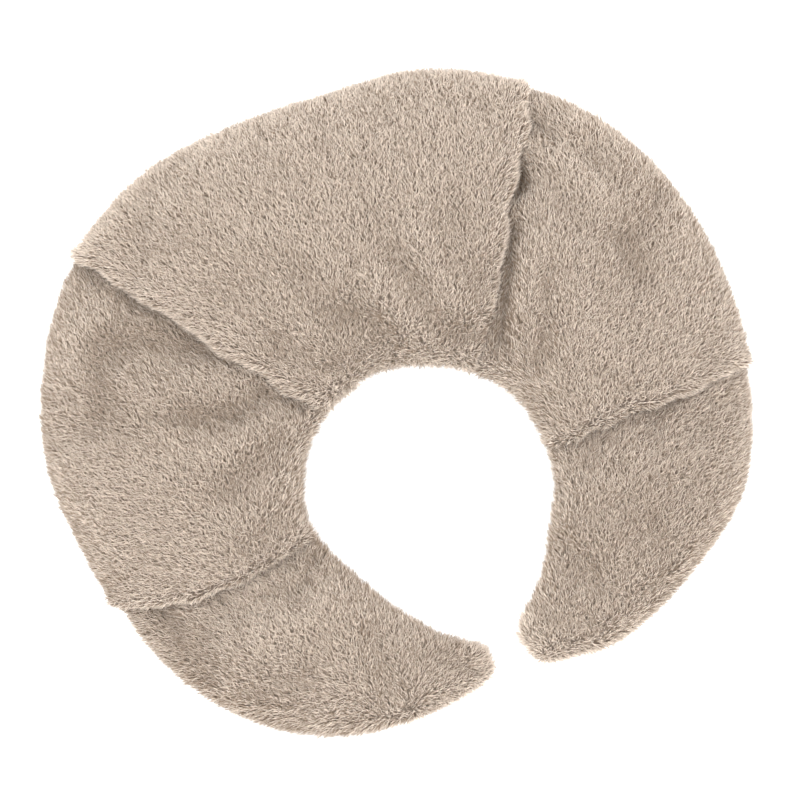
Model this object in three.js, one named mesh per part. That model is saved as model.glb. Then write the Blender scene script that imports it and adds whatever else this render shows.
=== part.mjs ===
import * as THREE from "three";

// A crescent-shaped plush neck pillow that lies on its back with its neck opening upright through it.
// Five filled front chambers lie on one back panel. The centre chamber's hems lap over the two side
// chambers, and each side chamber's hem laps over its tail, like shingles.
// Sizes are millimetres and degrees. Angles turn anticlockwise round the middle of the neck opening,
// from +x, and "across" runs from 0 at the neck edge to 1 at the outer edge. The pile is included.

// The pillow as a whole
const SEAM_HEIGHT = 12; // where the front is sewn to the back, above the surface it lies on
const BACK_THICKNESS = 4;
const FRONT_RIM = 3; // thickness of a front chamber at its sewn edge
const GAP = 0.3; // between pieces that touch
const UNDERSIDE_ROUND = 15; // how far in from the edge the back curves up
const UNDERSIDE_SHARE = 1 / 3; // but no more than this share of the width, at a tail's tip
const PLUSH_ROUGHNESS = 0.95;

// The rounded end of each tail, in degrees of turn
const TAIL_ROUND = { right: 8.5, left: 10 };
const BLUNT = 0.96; // a tail ends this far round its rounding, on a short blunt edge

// The crown across the width is a flattened arch
const ARCH_POWER = 2.6;
const ARCH_ROOT = 1.9;

// Hems that lap over the next chamber
const LAP = 26; // how far one chamber reaches under the next
const LAP_GAP = 0.8;
const HEM_THICKNESS = 9;
const HEM_ROUND = 5; // radius of the folded edge
const HEM_ROUND_SEWN = 0.3; // share of that radius left where the hem is sewn down at either side
const HEM_RISE = 6; // how far a hem rides up at the sewn edge, where it crosses the next chamber
const HEM_RISE_REACH = 52; // and how far in from the hem it has come down again
const DIP_REACH = 46; // how far a chamber takes to rise again from under a hem
const FLARE_REACH = 15; // how far along the outer edge a hem's corner stands proud
const SEAT = LAP + 2; // from here on the upper chamber lies on the back panel
const END_STEPS = [0, 2, 5, 10, 17, LAP]; // columns of the mesh near a chamber's end, measured from it
const TIP_RADIUS = 117; // middle of a tail's tip

const CROSS_STEPS = 12; // rows of the mesh across the width
const EDGE_CROWDING = 0.7; // how much closer the rows are at the edges; 0 spaces them evenly
const WAFER = 1.2; // the thin end of a chamber, under its neighbour's hem

// Sections of the crescent, from the right tail's tip to the left tail's tip
const SECTIONS = [
  { at: -58, inner: 98, outer: 137, crown: 24 },
  { at: -50, inner: 97, outer: 138, crown: 27 },
  { at: -40, inner: 91, outer: 152, crown: 30 },
  { at: -30, inner: 86, outer: 161, crown: 32 },
  { at: -20, inner: 81, outer: 171, crown: 33 },
  { at: -10, inner: 79, outer: 184, crown: 34 },
  { at: 0, inner: 80, outer: 199, crown: 35 },
  { at: 15, inner: 79, outer: 211, crown: 36 },
  { at: 30, inner: 79, outer: 225, crown: 38 },
  { at: 45, inner: 80, outer: 240, crown: 40 },
  { at: 60, inner: 79, outer: 254, crown: 41 },
  { at: 75, inner: 78, outer: 262, crown: 42 },
  { at: 90, inner: 78, outer: 265, crown: 44 },
  { at: 105, inner: 79, outer: 257, crown: 44 },
  { at: 118, inner: 80, outer: 260, crown: 44 },
  { at: 132, inner: 78, outer: 268, crown: 43 },
  { at: 145, inner: 79, outer: 267, crown: 42 },
  { at: 160, inner: 79, outer: 256, crown: 42 },
  { at: 175, inner: 78, outer: 242, crown: 41 },
  { at: 190, inner: 78, outer: 221, crown: 38 },
  { at: 205, inner: 75, outer: 205, crown: 36 },
  { at: 220, inner: 71, outer: 194, crown: 34 },
  { at: 235, inner: 71, outer: 181, crown: 33 },
  { at: 250, inner: 75, outer: 165, crown: 31 },
  { at: 265, inner: 83, outer: 147, crown: 29 },
  { at: 281, inner: 96, outer: 131, crown: 26 },
  { at: 290.6, inner: 98, outer: 130, crown: 23 },
];

// The four hems. Each is a nearly radial line, given by its angle at either end, its bow between them and
// how far its corner stands proud. Each wave in it turns it by some degrees at a place across the width
const HEMS = {
  right_low: {
    inner: 18.5,
    outer: 21.2,
    bow: 0,
    flare: 2,
    waves: [
      { at: 0.1, reach: 0.06, turn: -1 },
      { at: 0.41, reach: 0.07, turn: 0.9 },
      { at: 0.72, reach: 0.07, turn: -0.5 },
    ],
  },
  right_high: {
    inner: 68.3,
    outer: 75.7,
    bow: 0.9,
    flare: 3,
    waves: [
      { at: 0.22, reach: 0.1, turn: -0.6 },
      { at: 0.57, reach: 0.07, turn: 0.6 },
      { at: 0.84, reach: 0.06, turn: -0.9 },
    ],
  },
  left_high: {
    inner: 143.8,
    outer: 146.2,
    bow: 1.5,
    flare: 3,
    waves: [
      { at: 0.15, reach: 0.06, turn: 1.4 },
      { at: 0.38, reach: 0.08, turn: 0.6 },
      { at: 0.62, reach: 0.08, turn: -0.4 },
    ],
  },
  left_low: {
    inner: 204.2,
    outer: 200.6,
    bow: 3.8,
    flare: 4,
    waves: [
      { at: 0.42, reach: 0.06, turn: 0.6 },
      { at: 0.66, reach: 0.06, turn: 0.5 },
    ],
  },
};

const BACK_COLOUR = 0xab9c8c;
const RIGHT_TIP = SECTIONS[0].at;
const LEFT_TIP = SECTIONS[SECTIONS.length - 1].at;

// The chambers in turn, from the right tail to the left. Each end is a tip, or a hem that the chamber
// laps over its neighbour or lies under. Middle is the number of mesh steps between the two ends
const CHAMBERS = [
  {
    name: "right_tail",
    colour: 0xb4a493,
    start: { tip: RIGHT_TIP },
    end: { hem: "right_low", under: true },
    middle: 8,
  },
  {
    name: "right_chamber",
    colour: 0xb9a998,
    start: { hem: "right_low", laps: true },
    end: { hem: "right_high", under: true },
    middle: 9,
  },
  {
    name: "centre_chamber",
    colour: 0xbfae9d,
    start: { hem: "right_high", laps: true },
    end: { hem: "left_high", laps: true },
    middle: 16,
  },
  {
    name: "left_chamber",
    colour: 0xb9a998,
    start: { hem: "left_high", under: true },
    end: { hem: "left_low", laps: true },
    middle: 10,
  },
  {
    name: "left_tail",
    colour: 0xb4a493,
    start: { hem: "left_low", under: true },
    end: { tip: LEFT_TIP },
    middle: 11,
  },
];

// Soft troughs along short paths on the front, and ridges where the depth is negative
const FOLDS = {
  centre_chamber: [
    { width: 9, depth: 5, path: [[-52, 108], [-33, 104], [-19, 87]] },
    { width: 6, depth: -3, path: [[-35, 129], [-14, 99]] },
    { width: 9, depth: 5.5, path: [[-16, 140], [1, 108], [17, 91]] },
    { width: 6, depth: -3, path: [[-6, 154], [12, 116]] },
    { width: 12, depth: 2.5, path: [[17, 173], [12, 157]] },
    { width: 8, depth: 3, path: [[33, 132], [26, 94]] },
    { width: 10, depth: 3, path: [[-81, 135], [-62, 115], [-52, 91]] },
    { width: 10, depth: 3, path: [[-90, 91], [-59, 74]] },
    { width: 16, depth: 2, path: [[-175, 160], [-153, 157]] },
    { width: 10, depth: 2, path: [[-33, 167], [-27, 151]] },
  ],
  right_chamber: [
    { width: 6, depth: 7, path: [[67, 232], [77, 220]] },
    { width: 6, depth: 9, path: [[60, 206], [57, 190]] },
    { width: 5, depth: 6, path: [[57, 190], [53, 160]] },
    { width: 6, depth: 7, path: [[53, 160], [52, 142], [49, 113], [44, 91]] },
    { width: 9, depth: 3, path: [[53, 150], [49, 113], [44, 85]] },
    { width: 9, depth: -3, path: [[70, 223], [99, 189]] },
    { width: 7, depth: 4.5, path: [[74, 135], [74, 98], [70, 79]] },
    { width: 7, depth: -2.5, path: [[66, 148], [61, 88]] },
    { width: 12, depth: 2.5, path: [[86, 179], [91, 167]] },
    { width: 12, depth: 2.5, path: [[108, 205], [124, 189]] },
    { width: 12, depth: 3.5, path: [[143, 183], [137, 164]] },
    { width: 10, depth: 5, path: [[122, 157], [133, 132]] },
    { width: 12, depth: 2, path: [[107, 120], [118, 112]] },
    { width: 10, depth: 3, path: [[60, 70], [72, 42]] },
  ],
  left_chamber: [
    { width: 7, depth: 6, path: [[-214, 138], [-208, 130]] },
    { width: 5.5, depth: 6, path: [[-191, 123], [-173, 112], [-155, 101], [-139, 87]] },
    { width: 5, depth: 4, path: [[-139, 87], [-116, 73], [-100, 62], [-77, 49]] },
    { width: 11, depth: 6, path: [[-204, 90], [-169, 92], [-148, 84]] },
    { width: 9, depth: 7, path: [[-205, 70], [-202, 50], [-207, 38]] },
    { width: 9, depth: 8, path: [[-104, 60], [-121, 46], [-149, 44]] },
    { width: 11, depth: 5, path: [[-79, 45], [-99, 19], [-125, -1]] },
    { width: 8, depth: -2, path: [[-95, 42], [-130, 20]] },
    { width: 10, depth: 3, path: [[-93, -22], [-112, -35]] },
  ],
  left_tail: [
    { width: 8, depth: 3.5, path: [[-69, -44], [-81, -63], [-96, -64]] },
    { width: 12, depth: -2.5, path: [[-65, -69], [-99, -94]] },
    { width: 13, depth: 4, path: [[-164, -88], [-148, -110], [-134, -116]] },
    { width: 12, depth: 3.5, path: [[-104, -127], [-79, -120]] },
    { width: 9, depth: 2.5, path: [[-98, -144], [-80, -146]] },
    { width: 12, depth: 3, path: [[-33, -94], [-25, -126]] },
    { width: 10, depth: 3.5, path: [[-2, -104], [30, -116]] },
  ],
  right_tail: [
    { width: 16, depth: 2.5, path: [[83, -35], [99, -50]] },
    { width: 18, depth: 2, path: [[143, -6], [140, -22]] },
  ],
};

// One column of a table at an angle between its rows, on a smooth curve through them
function between(rows, angle, column) {
  const last = rows.length - 1;
  const after = rows.findIndex((row) => row.at > angle);
  const i = after < 0 ? last - 1 : Math.max(after - 1, 0);
  const slope = (k) => {
    const before = rows[Math.max(k - 1, 0)];
    const next = rows[Math.min(k + 1, last)];
    return (next[column] - before[column]) / (next.at - before.at);
  };
  const span = rows[i + 1].at - rows[i].at;
  const t = (angle - rows[i].at) / span;
  const ease = t * t * (3 - 2 * t);
  const bend = span * t * (1 - t) * ((1 - t) * slope(i) - t * slope(i + 1));
  return THREE.MathUtils.lerp(rows[i][column], rows[i + 1][column], ease) + bend;
}

// 1 along the crescent, easing to nearly 0 round the end of each tail
function tailEase(angle) {
  const right = (TAIL_ROUND.right + RIGHT_TIP - angle) / TAIL_ROUND.right;
  const left = (TAIL_ROUND.left + angle - LEFT_TIP) / TAIL_ROUND.left;
  const round = Math.min(Math.max(right, left, 0), BLUNT);
  return Math.sqrt(1 - round * round);
}

function radiusAt(angle, across) {
  const inner = between(SECTIONS, angle, "inner");
  const outer = between(SECTIONS, angle, "outer");
  const middle = (inner + outer) / 2;
  const half = ((outer - inner) / 2) * tailEase(angle);
  return middle + (2 * across - 1) * half;
}

function widthAt(angle) {
  return radiusAt(angle, 1) - radiusAt(angle, 0);
}

// The angle of a hem where it crosses a given place across the width
function hemAngle(hem, across) {
  let angle = THREE.MathUtils.lerp(hem.inner, hem.outer, across) + 4 * hem.bow * across * (1 - across);
  for (const wave of hem.waves) {
    const aside = (across - wave.at) / wave.reach;
    angle += wave.turn * Math.exp(-aside * aside);
  }
  return angle;
}

// The angle a given distance in from an end of a chamber. Below 0 it lies under the neighbour's hem
function angleFrom(end, inward, across, distance) {
  const edge = end.hem ? hemAngle(HEMS[end.hem], across) : end.tip;
  const radius = end.hem ? radiusAt(edge, across) : TIP_RADIUS;
  return edge + inward * THREE.MathUtils.radToDeg(distance / radius);
}

// Height of the underside, which is flat but for its rounded edges
function undersideHeight(angle, across) {
  const edge = Math.min(across, 1 - across) * widthAt(angle);
  const round = Math.min(UNDERSIDE_ROUND, widthAt(angle) * UNDERSIDE_SHARE);
  const inward = 1 - Math.min(edge / round, 1);
  return (SEAM_HEIGHT - BACK_THICKNESS) * (1 - Math.sqrt(1 - inward * inward));
}

function bedHeight(angle, across) {
  return undersideHeight(angle, across) + BACK_THICKNESS + GAP;
}

function arch(across) {
  return (1 - Math.abs(2 * across - 1) ** ARCH_POWER) ** (1 / ARCH_ROOT);
}

// Distance from a place to the nearest stretch of a path
function distanceTo(path, place) {
  let nearest = Infinity;
  for (let i = 1; i < path.length; i++) {
    const from = new THREE.Vector2(...path[i - 1]);
    const run = new THREE.Vector2(...path[i]).sub(from);
    const along = THREE.MathUtils.clamp(place.clone().sub(from).dot(run) / run.lengthSq(), 0, 1);
    nearest = Math.min(nearest, place.distanceTo(from.addScaledVector(run, along)));
  }
  return nearest;
}

// How deep the chamber's own troughs are at a place on the front
function foldDepth(name, x, y) {
  const place = new THREE.Vector2(x, y);
  let depth = 0;
  for (const fold of FOLDS[name]) {
    const aside = distanceTo(fold.path, place) / fold.width;
    depth += fold.depth * Math.exp(-aside * aside);
  }
  return depth;
}

// Distance in from a hem, in millimetres along the crescent; negative on the far side of it
function fromHem(end, inward, angle, across, radius) {
  return THREE.MathUtils.degToRad(inward * (angle - hemAngle(HEMS[end.hem], across))) * radius;
}

// The ends of a chamber that meet a hem, each with the way that the angle turns into the chamber
function hemmedEnds(chamber) {
  return [
    { end: chamber.start, inward: 1 },
    { end: chamber.end, inward: -1 },
  ].filter(({ end }) => end.hem);
}

// A place on the plan. The corners of a hem that laps stand a little proud of the outer edge
function placeOn(ends, angle, across) {
  const radius = radiusAt(angle, across);
  let flare = 0;
  for (const { end, inward } of ends) {
    if (!end.laps) continue;
    const away = fromHem(end, inward, angle, across, radius);
    flare += HEMS[end.hem].flare * (1 - THREE.MathUtils.smoothstep(away, 0, FLARE_REACH));
  }
  const flared = radius + flare * THREE.MathUtils.smoothstep(across, 0.5, 1);
  const turn = THREE.MathUtils.degToRad(angle);
  return { x: flared * Math.cos(turn), y: flared * Math.sin(turn), radius };
}

// Height of a chamber's front where it shows
function openHeight(chamber, angle, across) {
  const { x, y, radius } = placeOn(hemmedEnds(chamber), angle, across);
  const rim = SEAM_HEIGHT + GAP + FRONT_RIM;
  const crown = between(SECTIONS, angle, "crown") - foldDepth(chamber.name, x, y);
  let height = rim + (crown - rim) * arch(across) * tailEase(angle);
  for (const { end, inward } of hemmedEnds(chamber)) {
    const away = Math.max(fromHem(end, inward, angle, across, radius), 0);
    if (end.laps) {
      const edge = HEM_ROUND * THREE.MathUtils.lerp(HEM_ROUND_SEWN, 1, arch(across));
      const short = 1 - Math.min(away / edge, 1);
      const settled = THREE.MathUtils.smoothstep(away, 0, HEM_RISE_REACH);
      height += HEM_RISE * (1 - arch(across)) * (1 - settled);
      height -= edge * (1 - Math.sqrt(1 - short * short));
    } else {
      const under = 1 - THREE.MathUtils.smoothstep(away, 0, DIP_REACH);
      height -= (HEM_THICKNESS + LAP_GAP) * arch(across) * under;
    }
  }
  return height;
}

// Height of the slope on which a chamber lies under its neighbour's hem, at a distance past the hem
function lapHeight(chamber, hem, past, angle, across) {
  const atHem = openHeight(chamber, hemAngle(HEMS[hem], across), across);
  const wafer = bedHeight(angle, across) + WAFER;
  return THREE.MathUtils.lerp(atHem, wafer, THREE.MathUtils.smootherstep(past, 0, LAP));
}

function chamberUnder(hem) {
  const isUnder = (end) => end.under && end.hem === hem;
  return CHAMBERS.find((chamber) => isUnder(chamber.start) || isUnder(chamber.end));
}

// A column of a chamber's mesh at a distance in from one of its ends. It gives its angle at each place
// across the width, and there the heights of the chamber's top and bottom
function columnNear(chamber, end, inward, distance) {
  const angleAt = (across) => angleFrom(end, inward, across, distance);
  const open = (angle, across) => openHeight(chamber, angle, across);
  if (distance < 0) {
    const slope = (angle, across) => lapHeight(chamber, end.hem, -distance, angle, across);
    return { angleAt, top: slope, bottom: bedHeight };
  }
  if (end.laps && distance <= LAP) {
    const below = chamberUnder(end.hem);
    const bottom = (angle, across) => lapHeight(below, end.hem, distance, angle, across) + LAP_GAP;
    return { angleAt, top: open, bottom, lapped: true };
  }
  return { angleAt, top: open, bottom: bedHeight };
}

// All the columns of a chamber in turn. Between its ends they slide evenly from one end's slant to the
// other's
function columnsOf(chamber) {
  const { start, end, middle } = chamber;
  const past = END_STEPS.slice(1).map((step) => -step);
  const steps = (side) => (side.under ? [...past.toReversed(), ...END_STEPS] : END_STEPS);
  const columns = steps(start).map((step) => columnNear(chamber, start, 1, step));
  for (let i = 0; i <= middle; i++) {
    const first = columnNear(chamber, start, 1, SEAT);
    const last = columnNear(chamber, end, -1, SEAT);
    const share = i / middle;
    const angleAt = (across) => THREE.MathUtils.lerp(first.angleAt(across), last.angleAt(across), share);
    columns.push({ ...first, angleAt });
  }
  columns.push(...steps(end).toReversed().map((step) => columnNear(chamber, end, -1, step)));
  return columns;
}

// Places across the width
const ROWS = Array.from({ length: CROSS_STEPS + 1 }, (_, j) => {
  const even = j / CROSS_STEPS;
  return THREE.MathUtils.lerp(even, 0.5 - 0.5 * Math.cos(Math.PI * even), EDGE_CROWDING);
});

// A closed solid from columns of places, each with an x, a y, a top and a bottom
function solidFrom(columns) {
  const corners = columns.flat();
  const points = [
    ...corners.flatMap(({ x, y, top }) => [x, y, top]),
    ...corners.flatMap(({ x, y, bottom }) => [x, y, bottom]),
  ];
  const faces = [];
  const quad = (a, b, c, d) => faces.push(a, b, c, a, c, d);
  const below = (corner) => corner + corners.length;
  const wall = (a, b) => quad(a, below(a), below(b), b);
  const corner = (column, row) => column * ROWS.length + row;
  const lastColumn = columns.length - 1;
  for (let i = 0; i < lastColumn; i++) {
    for (let j = 0; j < CROSS_STEPS; j++) {
      const [a, b, c, d] = [corner(i, j), corner(i, j + 1), corner(i + 1, j + 1), corner(i + 1, j)];
      quad(a, b, c, d);
      quad(below(a), below(d), below(c), below(b));
    }
    wall(corner(i + 1, 0), corner(i, 0));
    wall(corner(i, CROSS_STEPS), corner(i + 1, CROSS_STEPS));
  }
  for (let j = 0; j < CROSS_STEPS; j++) {
    wall(corner(0, j), corner(0, j + 1));
    wall(corner(lastColumn, j + 1), corner(lastColumn, j));
  }
  const geometry = new THREE.BufferGeometry();
  geometry.setAttribute("position", new THREE.Float32BufferAttribute(points, 3));
  geometry.setIndex(faces);
  geometry.computeVertexNormals();
  return geometry;
}

function makePiece(name, colour, columns) {
  const finish = { color: colour, roughness: PLUSH_ROUGHNESS, metalness: 0 };
  const material = new THREE.MeshStandardMaterial(finish);
  const mesh = new THREE.Mesh(solidFrom(columns), material);
  mesh.name = name;
  return mesh;
}

function makeChamber(chamber) {
  const columns = columnsOf(chamber).map(({ angleAt, top, bottom }) => {
    return ROWS.map((across) => {
      const angle = angleAt(across);
      const { x, y } = placeOn(hemmedEnds(chamber), angle, across);
      return { x, y, top: top(angle, across), bottom: bottom(angle, across) };
    });
  });
  return makePiece(chamber.name, chamber.colour, columns);
}

// The back panel has its columns where the chambers that lie on it have theirs, so their facets match
function makeBackPanel() {
  const laid = CHAMBERS.flatMap(columnsOf).filter((column) => !column.lapped);
  const columns = laid.map(({ angleAt }) => {
    return ROWS.map((across) => {
      const angle = angleAt(across);
      const { x, y } = placeOn([], angle, across);
      const bottom = undersideHeight(angle, across);
      return { x, y, top: bottom + BACK_THICKNESS, bottom };
    });
  });
  return makePiece("back_panel", BACK_COLOUR, columns);
}

const pillow = new THREE.Group();
pillow.add(makeBackPanel());
for (const chamber of CHAMBERS) pillow.add(makeChamber(chamber));

// The pillow's own frame has its origin under the middle of its outline
const middle = new THREE.Box3().setFromObject(pillow, true).getCenter(new THREE.Vector3());
for (const piece of pillow.children) piece.position.set(-middle.x, -middle.y, 0);

export default pillow;
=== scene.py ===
# %% [markdown]
# # A crescent neck pillow in short plush
# The real pillow is a C of short plush. Its front is five filled chambers that lie over each other like
# shingles, sewn at the rim to one back panel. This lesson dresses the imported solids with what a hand
# would feel: a soft cloth skin for each piece, and a pile of short locks standing on it.
# Sizes are millimetres until a mesh is made, and angles are degrees round the middle of the neck opening.

import math
from collections import namedtuple

import bpy
import numpy as np
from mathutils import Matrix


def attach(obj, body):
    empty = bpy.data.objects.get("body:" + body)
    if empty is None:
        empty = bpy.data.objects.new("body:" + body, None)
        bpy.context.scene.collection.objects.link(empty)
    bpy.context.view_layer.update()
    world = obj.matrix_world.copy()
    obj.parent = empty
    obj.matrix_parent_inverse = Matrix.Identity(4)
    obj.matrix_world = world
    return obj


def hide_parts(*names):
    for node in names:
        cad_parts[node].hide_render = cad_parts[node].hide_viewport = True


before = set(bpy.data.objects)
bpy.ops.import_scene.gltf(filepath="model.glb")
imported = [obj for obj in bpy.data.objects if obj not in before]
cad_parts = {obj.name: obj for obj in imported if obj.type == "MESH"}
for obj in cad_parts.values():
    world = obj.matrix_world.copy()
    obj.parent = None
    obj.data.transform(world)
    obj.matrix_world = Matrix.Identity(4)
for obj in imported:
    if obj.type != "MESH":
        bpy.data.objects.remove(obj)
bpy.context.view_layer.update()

MM = 0.001


def add_object(name, data):
    """A new object of this data in the scene."""
    made = bpy.data.objects.new(name, data)
    bpy.context.scene.collection.objects.link(made)
    return made


# %% [markdown]
# ## Camera
# The pillow is seen from straight above. A long lens from well above keeps its rim nearly free of
# perspective. The lens follows from the width that the square picture spans at the pillow's mid height.
# Places on the pillow are measured from the middle of its neck opening, and so is the picture's middle.

# %% Place the camera
NECK_CENTRE = (19.89, -55.16)
PICTURE_MIDDLE = (-17.6, 56.6)
VIEW_WIDTH = 503.5
VIEW_PLANE = 20
CAMERA_HEIGHT = 1600
SENSOR_WIDTH = 36

camera_data = bpy.data.cameras.new("camera")
camera_data.sensor_width = SENSOR_WIDTH
camera_data.lens = SENSOR_WIDTH * CAMERA_HEIGHT / VIEW_WIDTH
camera = add_object("camera", camera_data)
camera.location = (
    (NECK_CENTRE[0] + PICTURE_MIDDLE[0]) * MM,
    (NECK_CENTRE[1] + PICTURE_MIDDLE[1]) * MM,
    (VIEW_PLANE + CAMERA_HEIGHT) * MM,
)
bpy.context.scene.camera = camera
print("lens in millimetres:", round(camera_data.lens, 1))

# %% [markdown]
# ## The plan of the crescent
# The skins have to lie in the solids, so they are worked out from the same plan: sections round the neck
# opening, four nearly radial hems, and soft troughs. Tables and a few functions say it all, where a
# sculpted mesh would be thousands of points.

# %% The sections
# A section has the radius of the neck edge, the radius of the outer edge and the height of the crown
Section = namedtuple("Section", "angle inner outer crown")
SECTIONS = [
    Section(-58, 98, 137, 24),
    Section(-50, 97, 138, 27),
    Section(-40, 91, 152, 30),
    Section(-30, 86, 161, 32),
    Section(-20, 81, 171, 33),
    Section(-10, 79, 184, 34),
    Section(0, 80, 199, 35),
    Section(15, 79, 211, 36),
    Section(30, 79, 225, 38),
    Section(45, 80, 240, 40),
    Section(60, 79, 254, 41),
    Section(75, 78, 262, 42),
    Section(90, 78, 265, 44),
    Section(105, 79, 257, 44),
    Section(118, 80, 260, 44),
    Section(132, 78, 268, 43),
    Section(145, 79, 267, 42),
    Section(160, 79, 256, 42),
    Section(175, 78, 242, 41),
    Section(190, 78, 221, 38),
    Section(205, 75, 205, 36),
    Section(220, 71, 194, 34),
    Section(235, 71, 181, 33),
    Section(250, 75, 165, 31),
    Section(265, 83, 147, 29),
    Section(281, 96, 131, 26),
    Section(290.6, 98, 130, 23),
]
RIGHT_TIP = SECTIONS[0].angle
LEFT_TIP = SECTIONS[-1].angle
print("sections:", len(SECTIONS), "from", RIGHT_TIP, "to", LEFT_TIP, "degrees")

# %% The hems and what lies beside them
# A hem is given by its angles at either end, its bow between them and how far its corner stands proud.
# A wave in its line turns it by some degrees at a place across the width
Hem = namedtuple("Hem", "inner outer bow flare waves")
Wave = namedtuple("Wave", "at reach turn")
HEMS = {
    "right_low": Hem(18.5, 21.2, 0, 2, [Wave(0.1, 0.06, -1), Wave(0.41, 0.07, 0.9), Wave(0.72, 0.07, -0.5)]),
    "right_high": Hem(
        68.3, 75.7, 0.9, 3,
        [Wave(0.22, 0.1, -0.6), Wave(0.57, 0.07, 0.6), Wave(0.84, 0.06, -0.9)],
    ),
    "left_high": Hem(
        143.8, 146.2, 1.5, 3,
        [Wave(0.15, 0.06, 1.4), Wave(0.38, 0.08, 0.6), Wave(0.62, 0.08, -0.4), Wave(0.99, 0.06, 0.9)],
    ),
    "left_low": Hem(204.2, 200.6, 3.8, 4, [Wave(0.42, 0.06, 0.6), Wave(0.66, 0.06, 0.5)]),
}

# Where the lower chamber sinks away from a hem, by some millimetres. Below 0 it swells up against it. The
# pile is painted darker where the chamber sinks away, as painted shade, and lighter where it swells
Pocket = namedtuple("Pocket", "at reach depth")
POCKETS = {
    "right_low": [Pocket(0.33, 0.25, 1.5), Pocket(0.56, 0.1, 2.5), Pocket(0.88, 0.08, -2.5)],
    "right_high": [
        Pocket(0.2, 0.13, 1.8), Pocket(0.47, 0.1, 0.8), Pocket(0.69, 0.055, 5),
        Pocket(0.8, 0.05, -3), Pocket(0.94, 0.06, -1.5),
    ],
    "left_high": [
        Pocket(0.03, 0.08, -2), Pocket(0.2, 0.1, 1.2), Pocket(0.5, 0.15, -0.8),
        Pocket(0.7, 0.12, 0.8), Pocket(0.91, 0.035, 1.0), Pocket(0.99, 0.03, -3),
    ],
    "left_low": [
        Pocket(0.2, 0.1, 0.5), Pocket(0.4, 0.1, -2), Pocket(0.58, 0.06, 3),
        Pocket(0.74, 0.07, -1.5), Pocket(0.88, 0.05, 4.5),
    ],
}

# An end of a chamber is a tip, or a hem that it laps over its neighbour or lies under. Inward is the way
# that the angle turns into the chamber from there
End = namedtuple("End", "kind where inward")
CHAMBERS = {
    "right_tail": (End("tip", RIGHT_TIP, 1), End("under", "right_low", -1)),
    "right_chamber": (End("laps", "right_low", 1), End("under", "right_high", -1)),
    "centre_chamber": (End("laps", "right_high", 1), End("laps", "left_high", -1)),
    "left_chamber": (End("under", "left_high", 1), End("laps", "left_low", -1)),
    "left_tail": (End("under", "left_low", 1), End("tip", LEFT_TIP, -1)),
}
print("hems:", len(HEMS), "chambers:", len(CHAMBERS))

# %% The troughs and the dents
# Soft troughs along short paths, measured from the middle of the neck opening. A ridge has a depth below 0.
# The pile is painted darker in a trough and lighter on a ridge, as painted shade and light
Fold = namedtuple("Fold", "width depth path")
FOLDS = {
    "centre_chamber": [
        Fold(9, 5, [(-52, 108), (-33, 104), (-19, 87)]),
        Fold(6, -3, [(-35, 129), (-14, 99)]),
        Fold(9, 5.5, [(-16, 140), (1, 108), (17, 91)]),
        Fold(6, -3, [(-6, 154), (12, 116)]),
        Fold(12, 2.5, [(17, 173), (12, 157)]),
        Fold(8, 3, [(33, 132), (26, 94)]),
        Fold(10, 3, [(-81, 135), (-62, 115), (-52, 91)]),
        Fold(10, 3, [(-90, 91), (-59, 74)]),
        Fold(16, 2, [(-175, 160), (-153, 157)]),
        Fold(10, 2, [(-33, 167), (-27, 151)]),
    ],
    "right_chamber": [
        Fold(6, 7, [(67, 232), (77, 220)]),
        Fold(6, 9, [(60, 206), (57, 190)]),
        Fold(5, 6, [(57, 190), (53, 160)]),
        Fold(6, 7, [(53, 160), (52, 142), (49, 113), (44, 91)]),
        Fold(9, 3, [(53, 150), (49, 113), (44, 85)]),
        Fold(9, -3, [(70, 223), (99, 189)]),
        Fold(7, 4.5, [(74, 135), (74, 98), (70, 79)]),
        Fold(7, -2.5, [(66, 148), (61, 88)]),
        Fold(12, 2.5, [(86, 179), (91, 167)]),
        Fold(12, 2.5, [(108, 205), (124, 189)]),
        Fold(12, 3.5, [(143, 183), (137, 164)]),
        Fold(10, 5, [(122, 157), (133, 132)]),
        Fold(12, 2, [(107, 120), (118, 112)]),
        Fold(10, 3, [(60, 70), (72, 42)]),
    ],
    "left_chamber": [
        Fold(7, 6, [(-214, 138), (-208, 130)]),
        Fold(5.5, 6, [(-191, 123), (-173, 112), (-155, 101), (-139, 87)]),
        Fold(5, 4, [(-139, 87), (-116, 73), (-100, 62), (-77, 49)]),
        Fold(11, 6, [(-204, 90), (-169, 92), (-148, 84)]),
        Fold(9, 7, [(-205, 70), (-202, 50), (-207, 38)]),
        Fold(9, 8, [(-104, 60), (-121, 46), (-149, 44)]),
        Fold(11, 5, [(-79, 45), (-99, 19), (-125, -1)]),
        Fold(8, -2, [(-95, 42), (-130, 20)]),
        Fold(10, 3, [(-93, -22), (-112, -35)]),
    ],
    "left_tail": [
        Fold(8, 3.5, [(-69, -44), (-81, -63), (-96, -64)]),
        Fold(12, -2.5, [(-65, -69), (-99, -94)]),
        Fold(13, 4, [(-164, -88), (-148, -110), (-134, -116)]),
        Fold(12, 3.5, [(-104, -127), (-79, -120)]),
        Fold(9, 2.5, [(-98, -144), (-80, -146)]),
        Fold(12, 3, [(-33, -94), (-25, -126)]),
        Fold(10, 3.5, [(-2, -104), (30, -116)]),
    ],
    "right_tail": [
        Fold(16, 2.5, [(83, -35), (99, -50)]),
        Fold(18, 2, [(143, -6), (140, -22)]),
    ],
}
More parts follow.
